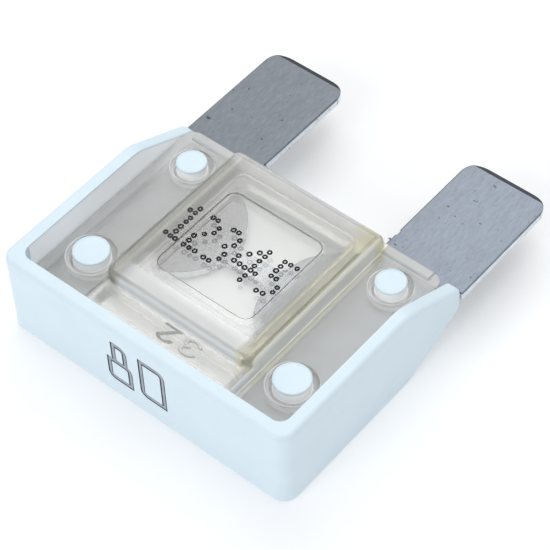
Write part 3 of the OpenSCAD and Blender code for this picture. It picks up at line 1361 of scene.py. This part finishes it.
@dataclass
class FuseElement:
    """Stamped fuse element: two terminals with their blades, joined by a thin link."""

    width: float
    tip_y: float
    bottom_z: float
    top_z: float
    blade_width: float = 8.0
    shoulder_y: float = 22.0
    stem_outer: float = 13.25
    stem_front: float = 1.8
    stem_corner: float = 0.5
    plate_x: float = 7.8
    link_y: float = 13.75
    plate_half: float = 5.45
    round_corner: float = 5.35
    square_corner: float = 4.0
    neck_half: float = 1.0
    neck_thickness: float = 0.5
    neck_fillet: float = 0.8
    tip_corner: float = 1.8
    tip_bevel: float = 0.6
    tip_share: float = 0.3
    side_bevel: float = 0.12
    stake_x: float = 10.4
    stake_holes: tuple[Pair, ...] = ((6.0, 1.15), (18.2, 0.9))
    notch_y: float = 24.0
    notch_width: float = 0.6
    notch_depth: float = 0.14
    softness: float = 0.07
    sheared_rise: float = 0.3
    flat_rise: float = 0.95
    lit_lean: float = 0.3

    @property
    def inner_x(self) -> float:
        """Distance from the middle of the fuse to the inner edge of a blade."""
        return self.width / 2 - self.blade_width

    @property
    def middle_z(self) -> float:
        """Height of the middle of the metal."""
        return (self.bottom_z + self.top_z) / 2

    def plan(
        self, side: int, low_z: float, high_z: float, back_y: float, gap: float = 0.0
    ) -> tuple[Piece, Piece]:
        """Returns the straight stem of a terminal and the plate that it widens to, or those of its seat.

        Args:
            side: -1 for the left terminal, 1 for the right one.
            low_z: Lowest height.
            high_z: Highest height.
            back_y: Place where the stem ends.
            gap: Gap between the terminal and its seat.

        Returns:
            The stem and the plate.
        """
        near, far = sorted((side * (self.inner_x - gap), side * (self.stem_outer + gap)))
        outer = self.stem_corner + gap
        stem = rounded_block(
            "stem",
            (near, self.stem_front - gap, low_z),
            (far, back_y, high_z),
            (outer, 0.0, 0.0, 0.0) if side < 0 else (0.0, outer, 0.0, 0.0),
        )
        middle, reach = side * self.plate_x, self.plate_half + gap
        corner = (self.round_corner if side < 0 else self.square_corner) + gap
        plate = rounded_block(
            "plate",
            (middle - reach, self.link_y - reach, low_z),
            (middle + reach, self.link_y + reach, high_z),
            (corner,) * 4,
            24,
        )
        return stem, plate

    def blade(self, side: int) -> Piece:
        """Returns a blade with bevelled edges and tip.

        Args:
            side: -1 for the left blade, 1 for the right one.

        Returns:
            The solid, in millimetres.
        """
        near, far = sorted((side * self.inner_x, side * self.width / 2))
        piece = block(
            "blade", (near, self.shoulder_y, self.bottom_z), (far, self.tip_y - self.tip_bevel, self.top_z)
        )
        taper_back(piece, self.tip_bevel, (0.0, self.tip_y, self.middle_z), self.tip_share)
        round_edges(piece, lambda edge: runs(edge, Axis.Y) and is_sharp(edge), self.side_bevel, 2)
        outline = rounded_block(
            "outline",
            (near, self.shoulder_y - PAST, self.bottom_z - PAST),
            (far, self.tip_y, self.top_z + PAST),
            (0.0, 0.0, self.tip_corner, self.tip_corner),
            12,
        )
        return combine(piece, Joining.KEEP_COMMON, outline)

    def terminal(self, side: int) -> Piece:
        """Returns a terminal with its blade.

        Args:
            side: -1 for the left terminal, 1 for the right one.
        """
        stem, plate = self.plan(side, self.bottom_z, self.top_z, self.shoulder_y + PAST)
        return combine(stem, Joining.ADD, plate, self.blade(side))

    def neck(self) -> Piece:
        """Returns the thin link, with fillets where it meets the plates.

        Returns:
            The solid, in millimetres.
        """
        fillet = self.neck_fillet
        half = self.neck_half + fillet
        low_z = self.middle_z - self.neck_thickness / 2
        high_z = self.middle_z + self.neck_thickness / 2
        right_x = self.plate_x - self.plate_half
        left_x = math.sqrt((self.plate_half + fillet) ** 2 - half**2) - fillet - self.plate_x
        piece = block(
            "neck",
            (left_x - fillet, self.link_y - half, low_z),
            (right_x + fillet, self.link_y + half, high_z),
        )
        for front, back, radii in (
            (self.link_y + self.neck_half, self.link_y + half + PAST, (fillet, fillet, 0.0, 0.0)),
            (self.link_y - half - PAST, self.link_y - self.neck_half, (0.0, 0.0, fillet, fillet)),
        ):
            gap = rounded_block("gap", (left_x, front, low_z - PAST), (right_x, back, high_z + PAST), radii)
            combine(piece, Joining.CUT, gap)
        return piece

    def notch(self) -> Piece:
        """Returns the small notch in the inner edge of the right blade.

        Returns:
            The solid, in millimetres.
        """
        half = self.notch_width / 2
        return block(
            "notch",
            (self.inner_x - PAST, self.notch_y - half, self.bottom_z - PAST),
            (self.inner_x + self.notch_depth, self.notch_y + half, self.top_z + PAST),
        )

    def build(self, flat: Material, sheared: Material, shaded_bevels: Material) -> Piece:
        """Models the element.

        Args:
            flat: Finish of the flat faces, and of the bevels that face the light.
            sheared: Finish of the cut edges.
            shaded_bevels: Darker finish of the other bevels between them, as painted shade on those that lean
                away from the light.

        Returns:
            The finished piece.
        """
        piece = self.terminal(-1)
        piece.name = piece.data.name = "stamped_element"
        combine(piece, Joining.ADD, self.terminal(1), self.neck())
        below, above = self.bottom_z - PAST, self.top_z + PAST
        for x in (-self.stake_x, self.stake_x):
            for y, radius in self.stake_holes:
                combine(piece, Joining.CUT, disc("hole", (x, y), radius, below, above, 32))
        combine(piece, Joining.CUT, self.notch())
        tidy(piece)
        soften(piece, self.softness)
        for material in (flat, sheared, shaded_bevels):
            piece.data.materials.append(material)
        # Painted shade: bevels that lean away from the light take the darker zinc.
        for face in piece.data.polygons:
            rise = abs(face.normal.z)
            if rise < self.sheared_rise:
                face.material_index = 1
            elif rise <= self.flat_rise and face.normal.x <= self.lit_lean:
                face.material_index = 2
        return settle(piece, flat)


@dataclass(frozen=True)
class HousingFinishes:
    """Materials of the housing, of its floor and inner side walls, which are lighter copies of the nylon as
    painted light, and of its numerals.
    """

    body: Material
    floor: Material
    wall: Material
    groove: Material
    ink: Material


@dataclass
class HousingShell:
    """Moulded housing: rim, floor with a recess for the element, raised underside and stakes."""

    width: float
    length: float
    height: float
    front_wall: float = 1.3
    pocket_half: float = 13.35
    pocket_corner: float = 0.9
    corner: float = 1.3
    edge: float = 0.4
    taper_length: float = 6.7
    taper_end: float = 2.3
    taper_start_reach: float = 0.66
    taper_end_reach: float = 0.5
    seat_z: float = 3.85
    land_z: float = 4.65
    wing_z: float = 6.1
    floor_back: float = 21.4
    well_depth: float = 0.3
    fit_gap: float = 0.1
    softness: float = 0.14
    number_line: float = 0.48
    number_rim: float = 0.12
    number_sides: Pair = (-3.7, 3.0)
    number_ends: Pair = (1.8, 7.2)
    number_depth: float = 0.06
    number_corner: float = 0.5
    number_loops: tuple[tuple[Pair, Pair], ...] = (
        ((-2.64, 4.55), (-1.46, 6.6)),
        ((-3.18, 2.35), (-1.04, 4.55)),
        ((0.21, 2.6), (2.46, 6.7)),
    )
    head_height: float = 0.2
    head_edge: float = 0.1
    head_rim: float = 0.16
    head_dish: float = 0.06
    shank_step: float = 0.5
    stakes: tuple[tuple[float, float, float, float], ...] = (
        (-10.4, 6.0, 1.55, 6.65),
        (10.4, 6.0, 1.55, 6.85),
        (-10.4, 18.2, 1.3, 6.65),
        (10.4, 18.2, 1.3, 6.75),
    )

    def outside(self) -> Piece:
        """Returns the solid block with its tapered sides and rounded edges.

        Returns:
            The solid, in millimetres.
        """
        half = self.width / 2
        bend_y = self.length - self.taper_length
        piece = block("housing_shell", (-half, 0.0, 0.0), (half, bend_y, self.height))
        taper_back(
            piece, self.taper_length, (0.0, self.length, self.height / 2), self.taper_end / self.height
        )
        for wanted, radius, segments in (
            (edges_at(Axis.Z, (Axis.Y, 0.0)), self.corner, 8),
            (edges_at(Axis.X, (Axis.Y, bend_y)), self.taper_start_reach, 5),
            (edges_at(Axis.X, (Axis.Y, self.length)), self.taper_end_reach, 6),
            (is_sharp, self.edge, 4),
        ):
            round_edges(piece, wanted, radius, segments)
        return piece

    def open_rooms(self, piece: Piece) -> None:
        """Cuts the rooms above and below the floor, and opens the back.

        Args:
            piece: Housing to cut.
        """
        front_corners = (self.pocket_corner, self.pocket_corner, 0.0, 0.0)
        above = self.height + PAST
        for front_y, low_z, high_z, corners in (
            (self.front_wall, self.land_z, above, front_corners),
            (self.front_wall, -PAST, self.height - self.wing_z, front_corners),
            (self.floor_back, -PAST, above, (0.0,) * 4),
        ):
            room = rounded_block(
                "room",
                (-self.pocket_half, front_y, low_z),
                (self.pocket_half, self.length + PAST, high_z),
                corners,
            )
            combine(piece, Joining.CUT, room)

    def seats(self, piece: Piece, element: FuseElement) -> None:
        """Cuts the two seats of the element.

        Args:
            piece: Housing to cut.
            element: Element that sits in the housing.
        """
        for side in (-1, 1):
            seat = element.plan(side, self.seat_z, self.land_z + PAST, self.length + PAST, self.fit_gap)
            combine(piece, Joining.CUT, *seat)

    def underside(self, cover: ClearCover) -> list[Piece]:
        """Returns the raised box and strip below the floor, which mirror those of the cover.

        Args:
            cover: Cover whose form is mirrored.

        Returns:
            The box and the strip.
        """
        parts = [cover.raised_box(), cover.strip()]
        for part in parts:
            with editing(part, "VERT"):
                bpy.ops.mesh.select_all(action="SELECT")
                bpy.ops.transform.resize(value=(1.0, 1.0, -1.0), center_override=(0.0, 0.0, self.height / 2))
                bpy.ops.mesh.normals_make_consistent(inside=False)
        return parts

    def dress(self, piece: Piece, cover: ClearCover, finishes: HousingFinishes) -> None:
        """Gives the floor below the raised box and the inner side walls lighter copies of the nylon, as
        painted light.

        Args:
            piece: Housing to dress.
            cover: Cover whose box stands over the floor.
            finishes: Materials of the housing.
        """
        for material in (finishes.body, finishes.floor, finishes.wall):
            piece.data.materials.append(material)
        for face in piece.data.polygons:
            centre = face.center
            below_box = abs(centre.x) < cover.box_half and centre.y < cover.box_back
            inside = self.seat_z - self.well_depth - TOUCHING < centre.z < self.land_z + TOUCHING
            in_wall = abs(abs(centre.x) - self.pocket_half) < TOUCHING and centre.z > self.seat_z
            # Painted light: the well floor below the box and the inner side walls take lighter copies of the
            # nylon.
            if below_box and inside and face.normal.z > 0.5:
                face.material_index = 1
            elif in_wall:
                face.material_index = 2

    def stake(self, x: float, y: float, head_r: float, head_z: float) -> Piece:
        """Returns a stake: its shank and its flat head with a thin rim.

        Args:
            x: Place of its middle across the fuse.
            y: Place of its middle along the fuse.
            head_r: Radius of the head.
            head_z: Height of the head's top.

        Returns:
            The solid, in millimetres.
        """
        head = disc("stake", (x, y), head_r, head_z - self.head_height, head_z, 64)
        with editing(head, "FACE") as mesh:
            select(mesh.faces, lambda face: face.normal.z > 1 - TOUCHING)
            bpy.ops.mesh.inset(thickness=self.head_rim)
            bpy.ops.mesh.inset(thickness=self.head_dish)
            bpy.ops.transform.translate(value=(0.0, 0.0, -self.head_dish))
        round_edges(head, lambda edge: is_sharp(edge, 80.0) and lies(edge, Axis.Z, head_z), self.head_edge, 3)
        middle_z = head_z - self.head_height / 2
        shank = disc("shank", (x, y), head_r - self.shank_step, self.seat_z - self.fit_gap, middle_z, 32)
        return combine(head, Joining.ADD, shank)

    def loop(self, low: Pair, high: Pair, line: float, depth: Pair) -> Piece:
        """Returns one loop of a numeral on the front wall, with two rounded corners.

        Args:
            low: Lowest x and z of the loop's middle line.
            high: Highest x and z of the loop's middle line.
            line: Width of the line.
            depth: Start and end of the loop along y.

        Returns:
            The solid, in millimetres.
        """
        parts = []
        for reach, past in ((line / 2, 0.0), (-line / 2, PAST)):
            ends = (low[0] - reach, low[1] - reach), (high[0] + reach, high[1] + reach)
            (left, below), (right, above) = ends
            part = block("loop", (left, depth[0] - past, below), (right, depth[1] + past, above))
            for x, z in ends:
                round_edges(part, edges_at(Axis.Y, (Axis.X, x), (Axis.Z, z)), self.number_corner + reach, 8)
            parts.append(part)
        return combine(parts[0], Joining.CUT, parts[1])

    def split_front(self, piece: Piece) -> None:
        """Splits the front wall round the numerals, so that its shading stays even.

        Args:
            piece: Housing whose wall is split.
        """
        for axis, places in ((Axis.X, self.number_sides), (Axis.Z, self.number_ends)):
            along = Vector([1.0 if one is axis else 0.0 for one in Axis])
            for place in places:
                with editing(piece, "FACE") as mesh:
                    select(
                        mesh.faces,
                        lambda face: face.normal.y < TOUCHING - 1 and face.calc_center_median().y < TOUCHING,
                    )
                    bpy.ops.mesh.bisect(plane_co=along * place, plane_no=along)

    def engrave(self, piece: Piece, groove: Material, ink: Material) -> Piece:
        """Cuts the numerals into the front wall and lays ink into them.

        Args:
            piece: Housing to cut.
            groove: Ink in the corners of the groove.
            ink: Ink on its floor.

        Returns:
            The ink on the floor of the groove.
        """
        self.split_front(piece)
        line = self.number_line - 2 * self.number_rim
        inlays = []
        for low, high in self.number_loops:
            cutter = self.loop(low, high, self.number_line, (-PAST, self.number_depth))
            cutter.data.materials.append(groove)
            combine(piece, Joining.CUT, cutter)
            inlays.append(self.loop(low, high, line, (self.number_depth / 3, self.number_depth * 4 / 3)))
        inlay = combine(inlays[0], Joining.ADD, *inlays[1:])
        inlay.name = inlay.data.name = "number_ink"
        return settle(inlay, ink)

    def build(
        self, element: FuseElement, cover: ClearCover, finishes: HousingFinishes
    ) -> tuple[Piece, Piece]:
        """Models the housing.

        Args:
            element: Element that sits in the housing.
            cover: Cover that stands over it.
            finishes: Materials of the housing.

        Returns:
            The finished housing, and the ink in its numerals.
        """
        piece = self.outside()
        self.open_rooms(piece)
        combine(piece, Joining.CUT, cover.room("well", self.seat_z - self.well_depth, self.land_z + PAST))
        combine(piece, Joining.ADD, *self.underside(cover))
        tidy(piece)
        soften(piece, self.softness)
        self.seats(piece, element)
        self.dress(piece, cover, finishes)
        for stake in self.stakes:
            combine(piece, Joining.ADD, self.stake(*stake))
        ink = self.engrave(piece, finishes.groove, finishes.ink)
        return settle(piece, finishes.body), ink


@dataclass
class PrintedRings:
    """Plain counting number printed on the box as small rings of ink."""

    digits: tuple[tuple[float, str], ...] = (
        (-6.1, ".X. XX. .X. .X. .X. .X. XXX"),
        (-4.2, "XX. ..X ..X .X. X.. X.. XXX"),
        (-2.1, "XX. ..X ..X .X. ..X ..X XX."),
        (0.0, "...X. ..XX. .X.X. X..X. XXXXX ...X. ...X."),
        (3.3, "XXX X.. X.. XX. ..X ..X XX."),
    )
    column: float = 0.55
    row: float = 0.6
    front_y: float = 10.3
    radius: float = 0.24
    radius_range: Pair = (0.92, 1.08)
    line: float = 0.15
    thickness: float = 0.03
    lift: float = 0.004
    jitter: float = 0.05
    seed: int = 7

    def ring(self, centre: Pair, radius: float, low_z: float) -> Piece:
        """Returns one ring of ink that lies on the plastic.

        Args:
            centre: Middle of the ring, seen from above.
            radius: Radius of its outer edge.
            low_z: Height of its lower face.

        Returns:
            The solid, in millimetres.
        """
        high_z = low_z + self.thickness
        piece = disc("ring", centre, radius, low_z, high_z, 20)
        hole = disc("hole", centre, radius - self.line, low_z - PAST, high_z + PAST, 20)
        return combine(piece, Joining.CUT, hole)

    def places(self) -> Iterator[Pair]:
        """Yields the place of each ring in even rows, digit by digit and from the top down.

        Yields:
            x, and y from the front wall.
        """
        for start_x, pattern in self.digits:
            rows = pattern.split()
            for up, cells in zip(reversed(range(len(rows))), rows):
                for along, cell in enumerate(cells):
                    if cell == "X":
                        yield start_x + along * self.column, self.front_y + up * self.row

    def build(self, cover: ClearCover, ink: Material) -> Piece:
        """Prints the number. A ring that would lie across the window's edge moves outside it.

        Args:
            cover: Cover that carries the ink.
            ink: Black ink.

        Returns:
            All rings as one piece.
        """
        chance = random.Random(self.seed)
        rings = []
        for x, y in self.places():
            x += chance.uniform(-self.jitter, self.jitter)
            y += chance.uniform(-self.jitter, self.jitter)
            radius = self.radius * chance.uniform(*self.radius_range)
            past_edge = abs(x) - cover.window_half
            if abs(past_edge) < radius:
                x += math.copysign(radius - past_edge, x)
            sink = cover.window_sink if abs(x) < cover.window_half else 0.0
            rings.append(self.ring((x, y), radius, cover.top_z - sink + self.lift))
        return settle(joined(rings, "printed_rings"), ink)


def box_mm(node: str) -> tuple[Point, Point]:
    """Returns the lowest and highest corner of a node, in millimetres with y from the front wall.

    Args:
        node: Node of the solids.

    Returns:
        The lowest and the highest corner.
    """
    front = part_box("housing")[0].y
    low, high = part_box(node)
    return tuple((corner.x / MM, (corner.y - front) / MM, corner.z / MM) for corner in (low, high))


def main() -> None:
    """Builds the studio and every piece."""
    logging.basicConfig(level=logging.INFO, format="%(name)s: %(message)s")
    Studio().build()
    low, high = box_mm("clear_cover")
    cover = ClearCover(
        width=high[0] - low[0], front_y=low[1], back_y=high[1], bottom_z=low[2], top_z=high[2]
    )
    low, high = box_mm("fuse_element")
    element = FuseElement(width=high[0] - low[0], tip_y=high[1], bottom_z=low[2], top_z=high[2])
    low, high = box_mm("housing")
    housing = HousingShell(*(end - start for start, end in zip(low, high)))
    finishes = HousingFinishes(
        body=MouldedNylon().build(),
        # The floor and wall nylons are lighter copies as painted light, and the wall nylon also glows as
        # painted light.
        floor=MouldedNylon("floor_nylon_painted_light", (0.91, 0.925, 0.94), (0.89, 0.91, 0.93)).build(),
        wall=MouldedNylon("wall_nylon_painted_light", (0.9, 0.92, 0.93), (0.88, 0.9, 0.91), glow=0.16).build(),
        groove=Ink("dark_ink", (0.03, 0.035, 0.045), (0.07, 0.08, 0.09)).build(),
        ink=Ink("grey_ink", (0.42, 0.46, 0.5), (0.34, 0.38, 0.42)).build(),
    )
    shell, number = housing.build(element, cover, finishes)
    shown = cover.build(ClearPlastic().build())
    stamping = element.build(
        PlatedZinc().build(),
        PlatedZinc("sheared_zinc", (0.62, 0.66, 0.7), (0.66, 0.7, 0.74), stroke_tone=0.9).build(),
        # Darker zinc for the bevels that lean away from the light, as painted shade.
        PlatedZinc("painted_shade_bevel_zinc", (0.04, 0.045, 0.05), (0.05, 0.055, 0.065)).build(),
    )
    rings = PrintedRings().build(cover, Ink("black_ink", (0.012, 0.012, 0.014), (0.03, 0.03, 0.033)).build())
    for piece, node, stands_for_it in (
        (shown, "clear_cover", True),
        (stamping, "fuse_element", True),
        (shell, "housing", True),
        (rings, "clear_cover", False),
        (number, "housing", False),
    ):
        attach(piece, BODY)
        if stands_for_it:
            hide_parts(node)
        log.info("%s: %d faces", piece.name, len(piece.data.polygons))


if __name__ == "__main__":
    main()
